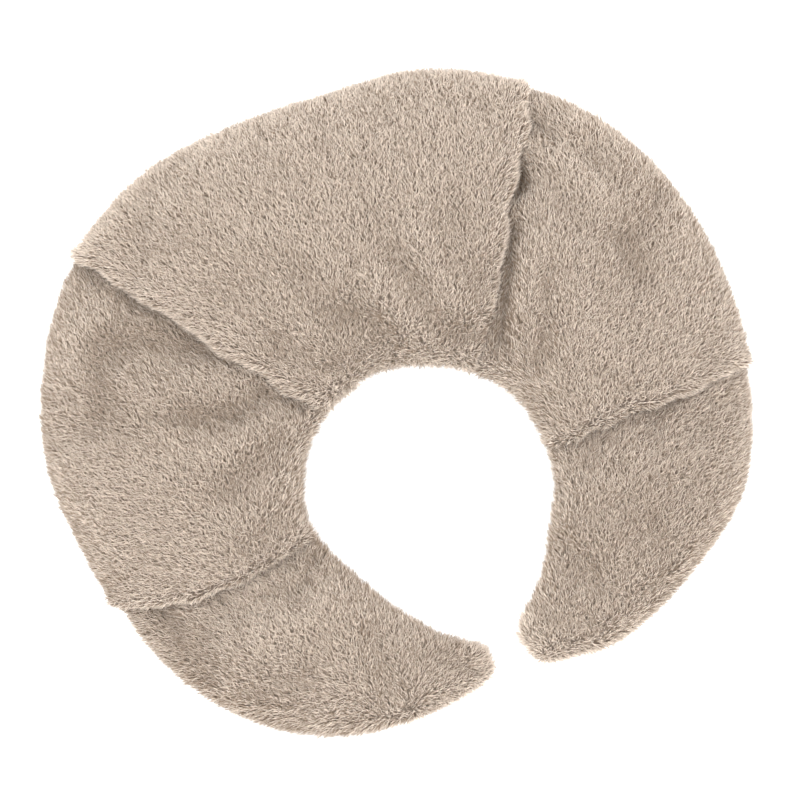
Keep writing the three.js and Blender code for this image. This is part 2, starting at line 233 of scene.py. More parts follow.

# Shallow dents and swells of the cloth that the solids leave out. Like the troughs, they paint shade into the
# pile in a dent and light on a swell
DENTS = {
    "centre_chamber": [
        Fold(12, 2.6, [(14, 140), (20, 128)]),
        Fold(14, 2.2, [(-121, 120), (-98, 129)]),
        Fold(10, 2.2, [(-88, 83), (-95, 92)]),
        Fold(10, 2.2, [(-40, 100), (-43, 135)]),
        Fold(7, -2.5, [(-57, 56), (-50, 61)]),
        Fold(9, -3, [(21, 77), (12, 77)]),
        Fold(8, -2, [(45, 101), (38, 116)]),
        Fold(12, 2, [(-178, 197), (-156, 210)]),
    ],
    "right_chamber": [
        Fold(12, 2.8, [(115, 150), (130, 137)]),
        Fold(10, 2.5, [(53, 94), (73, 84)]),
        Fold(10, 2.2, [(115, 68), (105, 70)]),
        Fold(8, 2.5, [(67, 233), (74, 226)]),
        Fold(8, -2.5, [(57, 171), (60, 180)]),
        Fold(8, -2.5, [(57, 158), (56, 148)]),
        Fold(12, 2, [(186, 132), (168, 168)]),
        Fold(12, -2, [(196, 56), (201, 78)]),
    ],
    "left_chamber": [
        Fold(13, 2.4, [(-196, 82), (-183, 80), (-172, 72)]),
        Fold(9, 3, [(-99, 50), (-116, 40), (-132, 31)]),
        Fold(12, 3, [(-189, 113), (-190, 125)]),
        Fold(13, 2.8, [(-166, 42), (-184, 31), (-191, 52)]),
        Fold(12, 2.5, [(-221, 56), (-222, 35)]),
        Fold(11, -4.5, [(-70, 42), (-80, 36)]),
        Fold(10, -4, [(-110, 67), (-104, 64)]),
    ],
    "left_tail": [
        Fold(12, 2.6, [(-147, -95), (-166, -80)]),
        Fold(12, 2.2, [(-138, -98), (-136, -130)]),
        Fold(9, -2, [(-175, -84), (-169, -93)]),
        Fold(10, 2.5, [(-72, -65), (-80, -72)]),
        Fold(9, -2, [(18, -94), (28, -97)]),
    ],
    "right_tail": [
        Fold(11, -2.5, [(80, -105), (90, -98)]),
    ],
}
print("folds:", sum(map(len, FOLDS.values())), "dents:", sum(map(len, DENTS.values())))

# %% [markdown]
# ## From the tables to places
# All the functions take whole arrays of angles and of places across the width, from 0 at the neck edge to
# 1 at the outer edge, so that one call works out a whole grid. A few eases and bumps are all the curves
# that cloth needs here.

# %% Eases and bumps
MIDDLE = 0.5


def smooth(value, low, high):
    """0 below low, 1 above high and an even ease between them."""
    t = np.clip((value - low) / (high - low), 0, 1)
    return t * t * (3 - 2 * t)


def smoother(value, low, high):
    """The same with softer ends."""
    t = np.clip((value - low) / (high - low), 0, 1)
    return t**3 * (t * (6 * t - 15) + 10)


def near(distance, start, reach):
    """1 up to start, easing to 0 at this reach beyond it."""
    return 1 - smooth(distance, start, start + reach)


def bump(away, reach):
    """1 at 0, fading to nothing within about two reaches on either side."""
    return np.exp(-((away / reach) ** 2))


def lerp(first, last, share):
    return first + (last - first) * share


# %% The width
TAIL_ROUND = {"right": 8.5, "left": 10}
BLUNT = 0.96


def between(angle, column):
    """One column of the sections at these angles, on a smooth curve through the rows."""
    at = np.array([row.angle for row in SECTIONS], float)
    value = np.array([getattr(row, column) for row in SECTIONS], float)
    before = np.r_[0, np.arange(len(at) - 1)]
    after = np.r_[np.arange(1, len(at)), len(at) - 1]
    slope = (value[after] - value[before]) / (at[after] - at[before])
    i = np.clip(np.searchsorted(at, angle, side="right") - 1, 0, len(at) - 2)
    span = at[i + 1] - at[i]
    t = (angle - at[i]) / span
    bend = span * t * (1 - t) * ((1 - t) * slope[i] - t * slope[i + 1])
    return lerp(value[i], value[i + 1], t * t * (3 - 2 * t)) + bend


def tail_ease(angle):
    """1 along the crescent, easing to nearly 0 round the end of each tail."""
    right = (TAIL_ROUND["right"] + RIGHT_TIP - angle) / TAIL_ROUND["right"]
    left = (TAIL_ROUND["left"] + angle - LEFT_TIP) / TAIL_ROUND["left"]
    turned = np.clip(np.maximum(right, left), 0, BLUNT)
    return np.sqrt(1 - turned**2)


def radius_at(angle, across, inset=0):
    inner = between(angle, "inner")
    outer = between(angle, "outer")
    half = (outer - inner) / 2 * tail_ease(angle) - inset
    return (inner + outer) / 2 + (2 * across - 1) * half


def width_at(angle):
    return radius_at(angle, 1) - radius_at(angle, 0)


def from_rim(angle, across):
    """Distance in from the nearer rim."""
    return np.minimum(across, 1 - across) * width_at(angle)


print("width at the top of the C:", round(float(width_at(np.array(90.0)))), "mm")

# %% The ends of a chamber
TIP_RADIUS = 117


def hem_angle(hem, across):
    """The angle of a hem where it crosses these places across the width."""
    row = HEMS[hem]
    angle = lerp(row.inner, row.outer, across) + 4 * row.bow * across * (1 - across)
    for wave in row.waves:
        angle += wave.turn * bump(across - wave.at, wave.reach)
    return angle


def angle_from(end, across, distance):
    """The angle at this distance in from an end of a chamber. Below 0 it lies under the neighbour."""
    if end.kind == "tip":
        return np.full(np.shape(across), end.where + end.inward * np.degrees(distance / TIP_RADIUS))
    edge = hem_angle(end.where, across)
    return edge + end.inward * np.degrees(distance / radius_at(edge, across))


def from_hem(end, angle, across):
    """Distance in from a hem, along the crescent. It is below 0 on the far side."""
    turn = np.radians(end.inward * (angle - hem_angle(end.where, across)))
    return turn * radius_at(angle, across)


def chamber_under(hem):
    """The chamber that lies under a hem."""
    return next(name for name, ends in CHAMBERS.items() if any(end[:2] == ("under", hem) for end in ends))


for hem in HEMS:
    print(hem, "lies over", chamber_under(hem))

# %% Places on the plan
FLARE_REACH = 15
TUCK = 2.5
TUCK_REACH = 18
OUTWARD_SHARE = 0.16


def plan_place(ends, angle, across, inset=0):
    """x and y. The corners of a hem that laps stand a little proud of the outer edge, and a skin, which
    is inset, is drawn in where it goes under a hem."""
    radius = radius_at(angle, across, inset) + inset * OUTWARD_SHARE
    outer = smooth(across, MIDDLE, 1)
    for end in ends:
        if end.kind == "laps":
            flare = HEMS[end.where].flare
            radius = radius + flare * near(from_hem(end, angle, across), 0, FLARE_REACH) * outer
        if end.kind == "under" and inset > 0:
            radius = radius - TUCK * near(from_hem(end, angle, across), 0, TUCK_REACH) * outer
    return radius * np.cos(np.radians(angle)), radius * np.sin(np.radians(angle))


def distance_to(path, x, y):
    """Distance from each place to the nearest stretch of a path."""
    nearest = np.full(x.shape, np.inf)
    for start, end in zip(path, path[1:]):
        run = np.subtract(end, start)
        along = np.clip(((x - start[0]) * run[0] + (y - start[1]) * run[1]) / (run @ run), 0, 1)
        aside = np.hypot(x - start[0] - along * run[0], y - start[1] - along * run[1])
        nearest = np.minimum(nearest, aside)
    return nearest


def fold_depth(chamber, x, y):
    folds = FOLDS[chamber] + DENTS[chamber]
    return sum(fold.depth * bump(distance_to(fold.path, x, y), fold.width) for fold in folds)


# %% [markdown]
# ## Heights
# A filled chamber is a flattened arch from seam to seam. At a hem it ends in a rolled edge that rests on
# its neighbour, which dips to make room, sinks away here and there, and swells up again beside it. Under
# the hem the neighbour slopes down to the back panel. Beside the seam the back panel curves up to meet it.

# %% The back panel and the arch
SEAM_HEIGHT = 12
BACK_THICKNESS = 4
FRONT_RIM = 3
GAP = 0.3
UNDERSIDE_ROUND = 15
UNDERSIDE_SHARE = 1 / 3
ARCH_POWER = 2.6
ARCH_ROOT = 1.9


def arch(across):
    """The crown across the width, a flattened arch from 0 to 1 and back."""
    return (1 - np.abs(2 * across - 1) ** ARCH_POWER) ** (1 / ARCH_ROOT)


def underside_height(angle, across):
    """Height of the underside, which is flat but for its rounded edges."""
    reach = np.minimum(UNDERSIDE_ROUND, width_at(angle) * UNDERSIDE_SHARE)
    inward = 1 - np.minimum(from_rim(angle, across) / reach, 1)
    return (SEAM_HEIGHT - BACK_THICKNESS) * (1 - np.sqrt(1 - inward**2))


def bed_height(angle, across):
    return underside_height(angle, across) + BACK_THICKNESS + GAP


# %% The chambers' tops
LAP = 26
LAP_GAP = 0.8
HEM_THICKNESS = 9
HEM_ROUND = 5
HEM_ROUND_SEWN = 0.3
HEM_RISE = 6
HEM_RISE_REACH = 52
DIP_REACH = 46


def open_height(chamber, angle, across, inset=0):
    """Height of a chamber's front where it shows. A hem's folded edge is inset by this much."""
    ends = CHAMBERS[chamber]
    x, y = plan_place(ends, angle, across)
    rim = SEAM_HEIGHT + GAP + FRONT_RIM
    crown = between(angle, "crown") - fold_depth(chamber, x, y)
    height = rim + (crown - rim) * arch(across) * tail_ease(angle)
    for end in ends:
        if end.kind == "tip":
            continue
        away = np.maximum(from_hem(end, angle, across), 0)
        if end.kind == "laps":
            edge = HEM_ROUND * lerp(HEM_ROUND_SEWN, 1, arch(across))
            short = 1 - np.clip((away - inset) / edge, 0, 1)
            settled = smooth(away, 0, HEM_RISE_REACH)
            height = height + HEM_RISE * (1 - arch(across)) * (1 - settled)
            height = height - edge * (1 - np.sqrt(1 - short**2))
        else:
            height = height - (HEM_THICKNESS + LAP_GAP) * arch(across) * near(away, 0, DIP_REACH)
    return height


def lap_height(hem, past, angle, across):
    """Height of the slope on which a chamber lies under its neighbour, this far past the hem."""
    at_hem = open_height(chamber_under(hem), hem_angle(hem, across), across)
    return lerp(at_hem, bed_height(angle, across), smoother(past, 0, LAP))


# %% Beside a hem
POCKET_AT = 4
POCKET_WIDTH = 6.5
SWELL = 2.4
SWELL_AT = 3
SWELL_WIDTH = 9


def pocket_depth(end, angle, across):
    """How far a chamber sinks away beside the hem that it lies under."""
    depth = sum(row.depth * bump(across - row.at, row.reach) for row in POCKETS[end.where])
    return depth * bump(from_hem(end, angle, across) - POCKET_AT, POCKET_WIDTH) * arch(across)


def swell_height(end, angle, across):
    """How far the cloth of a chamber swells up against the hem that it lies under."""
    return SWELL * bump(from_hem(end, angle, across) - SWELL_AT, SWELL_WIDTH) * arch(across)


# %% [markdown]
# ## The skins
# Plush is a knitted backing with pile standing on it. The solids reach the tips of the pile, so each
# backing lies a pile's height inside its solid. A grid that follows the plan gives even faces, a clean
# rolled hem and a sewn rim, which a voxel remesh of the solid would melt away. Each skin is closed, so
# it can be filled: a top and a bottom grid joined round their border.

# %% Steps of the grid
PILE_HEIGHT = 4.0
SIDE_INSET = 3.1
SEWN_INSET = 0.35
TIP_INSET = 3.5
HEM_INSET = 3.0
THINNEST = 0.6
GRID_STEP = 6.5
SEAT = LAP + 2

# Distances in from an end at which a grid has a column. They are closest where the cloth turns most
END_STEPS = {
    "laps": [HEM_INSET + step for step in (0, 1, 2.2, 3.8, 6, 10, 15, 20)] + [SEAT],
    "under": [-20, -14, -9, -5, -2, 1, 4, 8, 13, 18, 23, SEAT],
    "tip": [TIP_INSET + step for step in (0, 0.7, 1.7, 3.2, 5.5, 9, 13.5, 19)] + [SEAT],
}
ROW_COUNT = 25
EDGE_CROWDING = 0.8
even = np.linspace(0, 1, ROW_COUNT)
ROWS = lerp(even, MIDDLE - MIDDLE * np.cos(np.pi * even), EDGE_CROWDING)

# The angles and the places across the width have a row for each column of the grid. Each end comes with
# the columns' distance in from it, or infinity where they are far from it
Grid = namedtuple("Grid", "angles across ends")


def chamber_grid(name):
    first, last = CHAMBERS[name]
    columns = [(angle_from(first, ROWS, step), step, np.inf) for step in END_STEPS[first.kind]]
    start = columns[-1][0]
    stop = angle_from(last, ROWS, END_STEPS[last.kind][-1])
    arc = np.radians(stop[-1] - start[-1]) * radius_at(start, ROWS)[-1]
    count = int(arc / GRID_STEP)
    for i in range(1, count):
        columns.append((lerp(start, stop, i / count), np.inf, np.inf))
    for step in reversed(END_STEPS[last.kind]):
        columns.append((angle_from(last, ROWS, step), np.inf, step))
    angles, from_first, from_last = (np.array(values) for values in zip(*columns))
    ends = [(first, from_first[:, None]), (last, from_last[:, None])]
    return Grid(angles, np.broadcast_to(ROWS, angles.shape), ends)


grids = {name: chamber_grid(name) for name in CHAMBERS}
for name, grid in grids.items():
    print(name, "grid's columns and rows:", grid.angles.shape)


# %% Places of the skins
def skin_inset(across):
    """How far a skin lies below its solid's top: a pile's height, and little at the sewn rim."""
    return PILE_HEIGHT * lerp(SEWN_INSET, 1, arch(across))


def skin_places(name):
    """Places of a chamber's skin: arrays of x, y, top and bottom."""
    angles, across, ends = grids[name]
    x, y = plan_place(CHAMBERS[name], angles, across, SIDE_INSET)
    top = open_height(name, angles, across, HEM_INSET) - skin_inset(across)
    bottom = bed_height(angles, across)
    for end, distance in ends:
        if end.kind == "under":
            slope = lap_height(end.where, -distance, angles, across) - skin_inset(across)
            top = np.where(distance < 0, slope, top)
            top += swell_height(end, angles, across) - pocket_depth(end, angles, across)
        if end.kind == "laps":
            slope = lap_height(end.where, distance, angles, across)
            bottom = np.where(distance < LAP, slope + LAP_GAP, bottom)
    return x, y, np.maximum(top, bottom + THINNEST), bottom


# %% Meshes from grids
def both_grids(x, y, top, bottom):
    """x, y and z of each point of a top grid and then of a bottom grid."""
    layers = [np.stack(np.broadcast_arrays(x, y, z), -1).reshape(-1, 3) for z in (top, bottom)]
    return np.concatenate(layers)


def closed_faces(columns, rows):
    """Quads of a top grid and a bottom grid of the same size, joined round their border."""
    count = columns * rows
    top = np.arange(count).reshape(columns, rows)
    bottom = top + count
    border = np.r_[top[:-1, 0], top[-1, :-1], top[:0:-1, -1], top[0, :0:-1]]
    following = np.roll(border, -1)
    quads = [
        np.stack([top[:-1, :-1], top[:-1, 1:], top[1:, 1:], top[1:, :-1]], -1).reshape(-1, 4),
        np.stack([bottom[:-1, :-1], bottom[1:, :-1], bottom[1:, 1:], bottom[:-1, 1:]], -1).reshape(-1, 4),
        np.stack([border, following, following + count, border + count], -1),
    ]
    return np.concatenate(quads)


def closed_skin(name, x, y, top, bottom):
    """A skin as an object with its place in its mesh, round the neck's middle."""
    mesh = bpy.data.meshes.new(name + "_skin")
    placed = (both_grids(x, y, top, bottom) + [*NECK_CENTRE, 0]) * MM
    mesh.from_pydata(placed.tolist(), [], closed_faces(*x.shape).tolist())
    mesh.validate()
    mesh.shade_smooth()
    print(name, "skin is at most", round(float((top - bottom).max()), 1), "mm thick")
    return add_object(name + "_skin", mesh)


# %% Make the chambers' skins
skins = {name: closed_skin(name, *skin_places(name)) for name in CHAMBERS}

# %% [markdown]
# ## The back panel's skin
# The back is one C of plush under all five chambers. It shows only as a low band round the rim and from
# below, so it is a thin closed shell: flat where the pillow lies, curving up to the seam at both edges.
# It stays clear of the table by the thickness of its flattened pile.

# %% Make the back panel's skin
BACK_LIFT = 1.4
BACK_SKIN = 2.2
BACK_STEP = 1.6


def back_grid():
    """Angles of the back panel's grid and places across the width."""
    turned = np.degrees(TIP_INSET / TIP_RADIUS)
    count = int((LEFT_TIP - RIGHT_TIP) / BACK_STEP)
    angles = np.linspace(RIGHT_TIP + turned, LEFT_TIP - turned, count)
    return np.broadcast_arrays(angles[:, None], ROWS)


x, y = plan_place((), *back_grid(), SIDE_INSET)
bottom = underside_height(*back_grid()) + BACK_LIFT
skins["back_panel"] = closed_skin("back_panel", x, y, bottom + BACK_SKIN, bottom)

# %% [markdown]
# ## Filling the chambers
# A filled chamber isn't a clean arch: its cloth puckers along the seams and lies uneven over the wadding.
# Blender's cloth does that. Each skin starts with a little spare cloth, is held at its sewn rim, its
# underside and the part under a neighbour's hem, and is pumped up for twenty frames. How far a point may
# move is capped, so that the chambers stay clear of each other.

# %% Where a skin is held
RIM_SEWN = 1.0
RIM_HELD = 11.0
HEM_HELD = 12.0
HEM_GRIP = 0.6
HEM_GRIP_REACH = 4


def held_weights(name):
    """1 where a skin is held, 0 where it is free, for its top grid and then its bottom grid."""
    angles, across, ends = grids[name]
    held = 1 - smooth(from_rim(angles, across), RIM_SEWN, RIM_HELD)
    for end, distance in ends:
        if end.kind == "under":
            held = np.maximum(held, near(distance, 0, HEM_HELD))
        if end.kind == "tip":
            held = np.maximum(held, near(distance, TIP_INSET, RIM_HELD))
        if end.kind == "laps":
            held = np.maximum(held, HEM_GRIP * near(distance, HEM_INSET, HEM_GRIP_REACH))
    return np.concatenate([held.ravel(), np.ones(held.size)])


# %% Pump up the skins
FRAMES = 20
PRESSURE = 4.0
SPARE_CLOTH = 0.05
MOST_MOVED = 3.5
HELD_STEPS = 10


def coordinates(mesh):
    flat = np.empty(len(mesh.vertices) * 3)
    mesh.vertices.foreach_get("co", flat)
    return flat.reshape(-1, 3)


def evaluated(thing):
    """An object as its modifiers make it."""
    return thing.evaluated_get(bpy.context.evaluated_depsgraph_get())


def pump_up(skin, held):
    """Runs the cloth simulation on a skin and keeps its result, within the cap."""
    group = skin.vertex_groups.new(name="held")
    for step in range(HELD_STEPS + 1):
        members = np.flatnonzero(np.rint(held * HELD_STEPS) == step)
        group.add(members.tolist(), step / HELD_STEPS, "REPLACE")
    cloth = skin.modifiers.new("cloth", "CLOTH")
    cloth.settings.use_pressure = True
    cloth.settings.uniform_pressure_force = PRESSURE
    cloth.settings.shrink_min = -SPARE_CLOTH
    cloth.settings.vertex_group_mass = "held"
    cloth.settings.effector_weights.gravity = 0
    cloth.collision_settings.use_collision = False
    cloth.point_cache.frame_start = 1
    cloth.point_cache.frame_end = FRAMES
    before = coordinates(skin.data)
    for number in range(1, FRAMES + 1):
        bpy.context.scene.frame_set(number)
    moved = coordinates(evaluated(skin).data) - before
    length = np.linalg.norm(moved, axis=1)
    moved *= (MOST_MOVED * MM / np.maximum(length, MOST_MOVED * MM))[:, None]
    skin.modifiers.remove(cloth)
    skin.vertex_groups.clear()
    skin.data.vertices.foreach_set("co", (before + moved).ravel())
    skin.data.update()
    bpy.context.scene.frame_set(1)
    print(skin.name, "moved at most", round(float(length.max()) / MM, 1), "mm before the cap")


for name in CHAMBERS:
    pump_up(skins[name], held_weights(name))

# %% [markdown]
# ## Which way the pile lies
# Pile has a nap. A maker cuts every panel with the nap running one way, and handling combs it into swirls. So
# each panel gets a few directions noted, each with its place, and the pile between them follows the nearest
# ones. The value of 90 points to the top of the C. At a rim and over a hem the backing turns away, so there
# the pile splays outward too.

# %% Directions of the nap
Nap = namedtuple("Nap", "x y direction")
NAPS = {
    "centre_chamber": [
        Nap(45, 214, 90), Nap(17, 233, 98), Nap(33, 120, 90), Nap(-18, 120, 90),
        Nap(-18, 214, 95), Nap(-65, 120, 102), Nap(-65, 214, 103), Nap(-115, 183, 117),
        Nap(-99, 101, 118), Nap(-166, 164, 127), Nap(-200, 144, 150), Nap(-144, 104, 150),
        Nap(-87, 66, 148),
    ],
    "left_chamber": [
        Nap(-222, 120, 112), Nap(-175, 79, 135), Nap(-210, 25, 150), Nap(-144, 22, 125),
        Nap(-99, 6, 92), Nap(-166, -28, 157),
    ],
    "left_tail": [
        Nap(-153, -98, 150), Nap(-87, -85, 115), Nap(-27, -91, 102), Nap(-62, -142, 162),
        Nap(23, -113, 45),
    ],
    "right_chamber": [
        Nap(77, 230, 122), Nap(108, 183, 88), Nap(83, 120, 84), Nap(159, 132, 78),
        Nap(111, 107, 67), Nap(187, 82, 47), Nap(70, 54, 122),
    ],
    "right_tail": [
        Nap(108, -19, 90), Nap(108, -69, 90), Nap(185, 32, 47), Nap(171, -22, 70),
    ],
    "back_panel": [Nap(0, 170, 90), Nap(-170, 0, 100), Nap(170, 0, 80)],
}
NAP_REACH = 18.0
NAP_FALL = 1.5
NAP_RISE = 0.25


def nap_at(name, x, y):
    """The way the pile's tips point, as unit vectors that rise a little."""
    total = np.zeros((len(x), 3))
    for nap in NAPS[name]:
        close = 1 / ((x - nap.x) ** 2 + (y - nap.y) ** 2 + NAP_REACH**2) ** NAP_FALL
        turn = math.radians(nap.direction)
        total += close[:, None] * [math.cos(turn), math.sin(turn), 0]
    total /= np.linalg.norm(total, axis=1)[:, None]
    total[:, 2] = NAP_RISE
    return total


print("directions:", sum(map(len, NAPS.values())))

# %% How the pile splays
SPLAY = 0.9
SPLAY_REACH = 13.0
OVERHANG = 0.8
OVERHANG_REACH = 14.0
HANG = 1.3
RAGGED = (0.1, 1.9)
RAGGED_SEED = 5


def splay_at(name):
    """How the pile turns outward at a chamber's rim and over its hems, as vectors. Below the rim it
    hangs down over the seam."""
    angles, across, ends = grids[name]
    outward = np.sign(across - MIDDLE) * SPLAY * near(from_rim(angles, across), 0, SPLAY_REACH)
    onward = np.zeros(angles.shape)
    ragged = np.random.default_rng(RAGGED_SEED).uniform(*RAGGED, angles.shape)
    for end, distance in ends:
        if end.kind == "laps":
            onward -= end.inward * OVERHANG * near(distance, HEM_INSET, OVERHANG_REACH) * ragged
        if end.kind == "tip":
            onward -= end.inward * SPLAY * near(distance, TIP_INSET, SPLAY_REACH)
    longest = np.maximum(np.hypot(outward, onward) / SPLAY, 1)
    outward, onward = outward / longest, onward / longest
    turn = np.radians(angles)
    x = outward * np.cos(turn) - onward * np.sin(turn)
    y = outward * np.sin(turn) + onward * np.cos(turn)
    return both_grids(x, y, 0.0, -HANG)


# %% [markdown]
# ## What each point of a skin knows
# The pile has to know some things of the skin below it: its nap, how much of it shows there (cover), how
# light it is (shade), how upright the locks stand (raised), and a place that tells the piles of one skin
# apart (zone). They are stored on the skin as attributes, which the scattered locks inherit. Each follows
# from the distance to a rim, a hem, a tip or a trough. The shade is painted light and shade: darker in
# troughs, dents and pockets, along the rims and at a lapping hem's edge, and lighter beside the rims and
# tips, along a lapping hem and over the shadow beside a hem.

# %% How light the pile is
PLAIN_SHADE = {"right_tail": 0.7, "left_tail": 0.78}
MIDDLE_SHADE = 0.77
# Painted shade: darker in troughs and dents, in the pockets beside a hem, along the rim and at the rolled
# edge of a hem that laps
FOLD_SHADE = 0.045
POCKET_SHADE = 0.06
EDGE_SHADE = 0.25
EDGE_REACH = 4.0
# Painted light that lifts the shadow on a chamber beside the hem that lies over it
HEM_SHADOW_LIFT = 0.08
SHADOW_LIFT_REACH = 9.0
# Painted highlight along a hem that laps over its neighbour, and painted shade right at its rolled edge
HEM_GLOW = 0.12
GLOW_REACH = 14.0
HEM_EDGE_SHADE = 0.22
HEM_EDGE_REACH = 3.0
RIM_REACH = 16.0
TIP_REACH = 90.0

# How much painted light the pile gets at a chamber's neck edge, along its outer edge, and there towards its
# tip. Below 0 it is painted shade
Glow = namedtuple("Glow", "inner outer tip")
GLOWS = {
    "right_tail": Glow(0.12, 0.1, 0.55),
    "right_chamber": Glow(0.15, 0.0, 0),
    "centre_chamber": Glow(0.18, 0.12, 0),
    "left_chamber": Glow(0.05, -0.18, 0),
    "left_tail": Glow(-0.1, 0.0, 0.45),
}


def rim_glow(name):
    """How much painted light the pile gets beside the rims of a chamber, and painted shade where it is below
    0.
    """
    angles, across, ends = grids[name]
    glow = GLOWS[name]
    outer = glow.outer
    for end in CHAMBERS[name]:
        if end.kind == "tip":
            from_tip = np.radians(end.inward * (angles - end.where)) * TIP_RADIUS
            outer = lerp(glow.tip, glow.outer, smooth(from_tip, 0, TIP_REACH))
    return np.where(across < MIDDLE, glow.inner, outer) * near(from_rim(angles, across), 0, RIM_REACH)


def shade_at(name):
    """How light the pile is on each point of a chamber's grid. It is painted shade in troughs, dents and
    pockets and along the rim and hem edges, and painted light beside the rims and tips, along a lapping hem
    and over the shadow beside a hem.
    """
    angles, across, ends = grids[name]
    x, y = plan_place(CHAMBERS[name], angles, across)
    shade = PLAIN_SHADE.get(name, MIDDLE_SHADE) - FOLD_SHADE * fold_depth(name, x, y)
    shade += rim_glow(name)
    shade -= EDGE_SHADE * near(from_rim(angles, across), 0, EDGE_REACH)
    for end, distance in ends:
        if end.kind == "under":
            shade += HEM_SHADOW_LIFT * near(distance, 0, SHADOW_LIFT_REACH)
            shade -= POCKET_SHADE * pocket_depth(end, angles, across)
        if end.kind == "laps":
            shade += HEM_GLOW * near(distance, HEM_INSET, GLOW_REACH)
            shade -= HEM_EDGE_SHADE * near(distance, HEM_INSET, HEM_EDGE_REACH)
        if end.kind == "tip":
            shade += GLOWS[name].tip * near(distance, TIP_INSET, RIM_REACH)
    print(name, "shade from", round(float(shade.min()), 2), "to", round(float(shade.max()), 2))
    return shade


# %% Where the pile grows and how upright it stands
HIDDEN_FROM = 9.0
EDGE_RAISE = 1.3
TOP_SHARE = 0.3
HEM_RAISE = 0.3
POCKET_RAISE = 0.2
RAISE_REACH = 7.0


def cover_at(name):
    """1 where a chamber bears pile, 0 where it doesn't, for its top grid and then its bottom grid. The
    top bears it all over, but for what is deep under a hem, and the bottom only along its border."""
    angles, across, ends = grids[name]
    top = np.ones(angles.shape)
    for end, distance in ends:
        if end.kind == "under":
            top *= distance > -HIDDEN_FROM
    bottom = np.zeros(angles.shape)
    bottom[:, [0, -1]] = top[:, [0, -1]]
    first, last = CHAMBERS[name]
    bottom[0] = first.kind != "under"
    bottom[-1] = last.kind != "under"
    return np.r_[top.ravel(), bottom.ravel()]


def raised_at(name):
    """How upright the pile stands on a chamber, for its top grid and then its bottom grid."""
    angles, across, ends = grids[name]
    at_rim = near(from_rim(angles, across), 0, RAISE_REACH)
    raised = np.ones(angles.shape)
    for end, distance in ends:
        if end.kind == "under":
            raised += POCKET_RAISE * near(distance, 0, RAISE_REACH)
        if end.kind == "laps":
            raised += HEM_RAISE * near(distance, HEM_INSET, RAISE_REACH)
        if end.kind == "tip":
            at_rim = np.maximum(at_rim, near(distance, TIP_INSET, RAISE_REACH))
    top = raised + TOP_SHARE * EDGE_RAISE * at_rim
    bottom = raised + EDGE_RAISE * at_rim
    return np.r_[top.ravel(), bottom.ravel()]


# %% All of it for a chamber and for the back panel
BACK_SHADE = 0.66
BACK_EDGE_COVER = 0.5
AT_RIM = 0.01
SKIN_ATTRIBUTES = ("nap", "cover", "shade", "raised", "zone")


def chamber_attributes(name):
    return {
        "cover": cover_at(name),
        "shade": np.tile(shade_at(name).ravel(), 2),
        "raised": raised_at(name),
        "zone": np.tile(grids[name].angles.ravel(), 2),
    }


def back_attributes():
    """The back's zone is the distance in from its rim, where a chamber's is the angle. Its bottom bears
    pile all over, and its top only along its border."""
    angles, across = back_grid()
    from_tip = np.radians(np.minimum(angles - RIGHT_TIP, LEFT_TIP - angles)) * TIP_RADIUS - TIP_INSET
    rim = np.minimum(from_rim(angles, across), from_tip)
    return {
        "cover": np.r_[np.where(rim > AT_RIM, 0, BACK_EDGE_COVER).ravel(), np.ones(rim.size)],
        "shade": np.full(2 * rim.size, BACK_SHADE),
        "raised": np.ones(2 * rim.size),
        "zone": np.tile(rim.ravel(), 2),
    }


# %% Store it all on the skins
def store(mesh, name, kind, values):
    """An attribute on the mesh's points."""
    field = "vector" if kind == "FLOAT_VECTOR" else "value"
    attribute = mesh.attributes.new(name, kind, "POINT")
    attribute.data.foreach_set(field, np.asarray(values, np.float32).ravel())


for name, skin in skins.items():
    places = coordinates(skin.data) / MM - [*NECK_CENTRE, 0]
    nap = nap_at(name, places[:, 0], places[:, 1])
    if name == "back_panel":
        known = back_attributes()
    else:
        known = chamber_attributes(name)
        nap += splay_at(name)
    store(skin.data, "nap", "FLOAT_VECTOR", nap)
    for label, values in known.items():
        store(skin.data, label, "FLOAT", values)

# %% [markdown]
# The grids are coarse so that the cloth simulation is quick. One level of subdivision rounds the skins,
# and carries the attributes along.

# %% Round the chambers' skins
def keep_result(thing, modifier):
    """Turns an object into the plain mesh that its modifier makes."""
    made = bpy.data.meshes.new_from_object(evaluated(thing))
    made.name = thing.name
    thing.modifiers.remove(modifier)
    thing.data = made
    made.shade_smooth()


for name in CHAMBERS:
    rounded = skins[name].modifiers.new("rounded", "SUBSURF")
    rounded.levels = 1
    rounded.render_levels = 1
    keep_result(skins[name], rounded)
for skin in skins.values():
    print(skin.name, "triangles:", sum(len(face.vertices) - 2 for face in skin.data.polygons))

# %% [markdown]
# ## Node trees from Python
# Materials and Geometry Nodes are both graphs of nodes. Two small classes keep them readable: a wire is
# a socket that can be used in sums, and a graph adds any other node, with its settings and its inputs.

# %% Wires and graphs
def both_ways(operation):
    """An operator of a wire and its reflected form, which add a Math node to its graph."""
    return (
        lambda wire, other: wire.math(operation, wire, other),
        lambda wire, other: wire.math(operation, other, wire),
    )


class Wire:
    """An output socket, which can be used in sums."""

    __add__, __radd__ = both_ways("ADD")
    __sub__, __rsub__ = both_ways("SUBTRACT")
    __mul__, __rmul__ = both_ways("MULTIPLY")
    __truediv__, __rtruediv__ = both_ways("DIVIDE")
    __mod__, __rmod__ = both_ways("MODULO")
    # More than is less than, the other way round
    __lt__, __gt__ = both_ways("LESS_THAN")

    def __init__(self, graph, socket):
        self.graph = graph
        self.socket = socket

    def math(self, operation, *values):
        return self.graph.add("ShaderNodeMath", {"operation": operation}, dict(enumerate(values)))

    def limited(self, low, high):
        return self.math("MINIMUM", self.math("MAXIMUM", self, low), high)

    def output(self, name):
        """Another output of the same node."""
        return Wire(self.graph, self.socket.node.outputs[name])


Noise = namedtuple("Noise", "scale detail")


